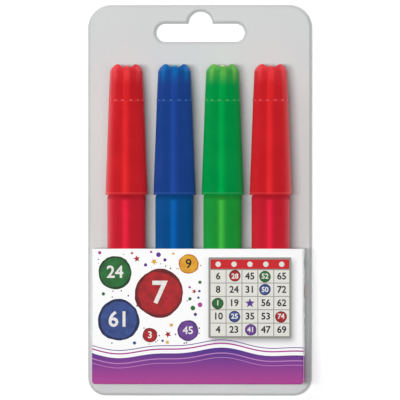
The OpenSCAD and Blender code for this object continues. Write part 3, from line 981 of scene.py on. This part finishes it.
def make_card():
    shapes, rect = print_layout()
    mats = {
        "white": board("board_white", WHITE, rough=0.42, spec=0.35, vary=0.004, painted_glow=0.045),
        "back": board("board_back", (222, 219, 210), rough=0.8, spec=0.2, vary=0.04),
        "edge": board("board_edge", (236, 234, 228), rough=0.85, spec=0.2, vary=0.05),
        "shadow": shadow_material(rect),
        "sheet": board("print_sheet", (156, 154, 148)),
        "cell": board("print_cell", (240, 239, 231)),
        "digit": board("print_digit", (34, 34, 36), vary=0.08),
        "red": board("print_red", (214, 30, 38)),
        "purple": board("print_purple", (98, 58, 150)),
        "magenta": board("print_magenta", (186, 70, 158)),
        "band": board("print_band", (190, 72, 158), second=((92, 52, 148), CARD_Y - 24, CARD_Y - 12.5)),
        "band_light": board("print_band_light", (206, 140, 206)),
    }
    for c, lo, hi, ink in (("red", (120, 10, 18), (190, 22, 32), (246, 243, 240)), ("blue", (24, 36, 88), (56, 84, 152), (246, 243, 240)),
                           ("green", (12, 66, 26), (34, 118, 50), (246, 243, 240)), ("yellow", (214, 128, 20), (240, 178, 44), (60, 40, 20)),
                           ("purple", (76, 40, 120), (116, 66, 156), (246, 243, 240))):
        mats[c + "_rim"] = dab_material(f"dab_{c}_rim", lo, tuple(int(v * 0.85) for v in lo))
        mats[c + "_dab"] = dab_material(f"dab_{c}", hi, tuple(int(0.5 * (a + b)) for a, b in zip(lo, hi)))
        mats[c + "_ink"] = board(f"dab_{c}_digit", ink, vary=0.08)
    order = list(mats)
    s3, s4u, s4v = U0 + 2 * ARC + WALL_H, U0 + 2 * ARC + WALL_H + 2.0, V0 - 2 * ARC - WALL_H - 2.6
    v3 = V0 - 2 * ARC - WALL_H
    blank = [(-U0, V_TOP), (-s3, V_TOP), (-s4u, V_TOP - 1.8), (-s4u, V0 + 2.3), (-s3, V0), (-U0, V0), (-U0 + 0.02, v3), (-U0 + 2.4, s4v),
             (U0 - 2.4, s4v), (U0 - 0.02, v3), (U0, V0), (s3, V0), (s4u, V0 + 2.3), (s4u, V_TOP - 1.8), (s3, V_TOP), (U0, V_TOP)]
    lines = [[(sg * (U0 + ARC + 0.9), V_TOP), (sg * (U0 + ARC + 0.9), V0)] for sg in (-1, 1)]
    for k in range(6):
        for base in (U0, U0 + ARC + WALL_H):
            for sg in (-1, 1):
                u = sg * (base + ARC * k / 5)
                lines.append([(u, V_TOP), (u, V0)])
        for base in (V0, V0 - ARC - WALL_H):
            v = base - ARC * k / 5
            lines.append([(-U0, v), (U0, v)])
    loops = [blank] + [l for _, ls in shapes for l in ls]
    pts, tris = triangulate(loops, lines)
    boxes = []
    for ink, ls in shapes:
        xs = [p[0] for l in ls for p in l]
        ys = [p[1] for l in ls for p in l]
        boxes.append((min(xs), min(ys), max(xs), max(ys)))
    bm = bmesh.new()
    outer, inner = {}, {}

    def vert(k, cache, depth):
        if k not in cache:
            p, n = fold(*pts[k])
            cache[k] = bm.verts.new(p - n * depth)
        return cache[k]
    count = {}
    kept = []
    for t in tris:
        cx = sum(pts[k][0] for k in t) / 3
        cy = sum(pts[k][1] for k in t) / 3
        if not inside(blank, cx, cy):
            continue
        ink = "white"
        for (name, ls), bb in zip(reversed(shapes), reversed(boxes)):
            if bb[0] <= cx <= bb[2] and bb[1] <= cy <= bb[3] and sum(inside(l, cx, cy) for l in ls) % 2:
                ink = name
                break
        if 0.8 * ARC < abs(cx) - U0 < ARC + 0.9 or (ink == "shadow" and abs(cx) > U0):
            ink = "white"
        kept.append((t, ink))
    for t, ink in kept:
        a, b, c = t
        f = bm.faces.new([vert(k, outer, 0.0) for k in t])
        f.material_index = order.index(ink)
        g = bm.faces.new([vert(k, inner, BOARD) for k in reversed(t)])
        g.material_index = order.index("back")
        for p, q in ((a, b), (b, c), (c, a)):
            count[(p, q)] = count.get((p, q), 0) + 1
    for (p, q) in list(count):
        if (q, p) not in count:
            f = bm.faces.new((outer[q], outer[p], inner[p], inner[q]))
            f.material_index = order.index("edge")
    return finish_mesh("folded_card", bm, [mats[k] for k in order], "tray", "printed_card", sharp=40)


make_card()

# ---------------------------------------------------------------------- stage
bpy.ops.mesh.primitive_plane_add(size=8, location=(0, 0, -0.00005))
floor = bpy.context.object
floor.name = "floor"
fm, fnt, fb = new_material("floor_pale")
fcol = ramp(fnt, noise_tex(fnt, coords(fnt), 3, 2, 0.5), [(0.3, (0.93, 0.93, 0.93)), (0.7, (0.95, 0.95, 0.95))])
fnt.links.new(fcol, fb.inputs["Base Color"])
fb.inputs["Roughness"].default_value = 0.9
fb.inputs["Specular IOR Level"].default_value = 0.1
fb.inputs["Emission Color"].default_value = (1, 1, 1, 1)
fb.inputs["Emission Strength"].default_value = 0.27
floor.data.materials.append(fm)


def soft_panel(name, across, along, reach, sx, sy, power):
    """Softbox facing the object: degrees off the vertical across the row and along it, distance and size in metres."""
    a, t = math.radians(across), math.radians(along)
    z = Vector((math.sin(a) * math.cos(t), math.sin(t), math.cos(a) * math.cos(t)))
    x = Vector((0, 1, 0)).cross(z).normalized()
    y = z.cross(x)
    d = bpy.data.lights.new(name, "AREA")
    d.shape = "RECTANGLE"
    d.size, d.size_y = sx, sy
    d.energy = power
    o = bpy.data.objects.new(name, d)
    m = Matrix((x, y, z)).transposed().to_4x4()
    m.translation = z * reach
    o.matrix_world = m
    o.visible_camera = False
    scene.collection.objects.link(o)
    return o


soft_panel("key_over", -7, -0.2, 3, 1.32, 0.26, 53)
soft_panel("key_mid", -9, 30, 0.8, 0.277, 0.4, 0.378)
soft_panel("key_back", -20, 55, 0.8, 0.256, 0.4, 0.7)
soft_panel("fill_left", -44, 48, 0.45, 0.09, 0.225, 0.215)
soft_panel("key_right", 13, -0.2, 3, 0.6, 0.26, 6.6)

world = bpy.data.worlds.new("studio")
scene.world = world
world.use_nodes = True
wb = world.node_tree.nodes["Background"]
wb.inputs[0].default_value = (1, 1, 1, 1)
wb.inputs[1].default_value = 0.05

# --------------------------------------------------------------------- camera
D = 2.2
TILT = math.radians(2.7)
cam_data = bpy.data.cameras.new("camera")
cam_data.type = "PERSP"
cam_data.sensor_width = 36.0
cam_data.lens = 36.0 * D / (400 * 0.357 * MM)
cam_data.clip_start, cam_data.clip_end = 0.1, 20
cam = bpy.data.objects.new("camera", cam_data)
cam.location = (D * math.sin(TILT), 0.00007, D * math.cos(TILT))
cam.rotation_euler = (0, TILT, 0)
scene.collection.objects.link(cam)
scene.camera = cam
scene.view_settings.view_transform = "Standard"
scene.view_settings.look = "None"
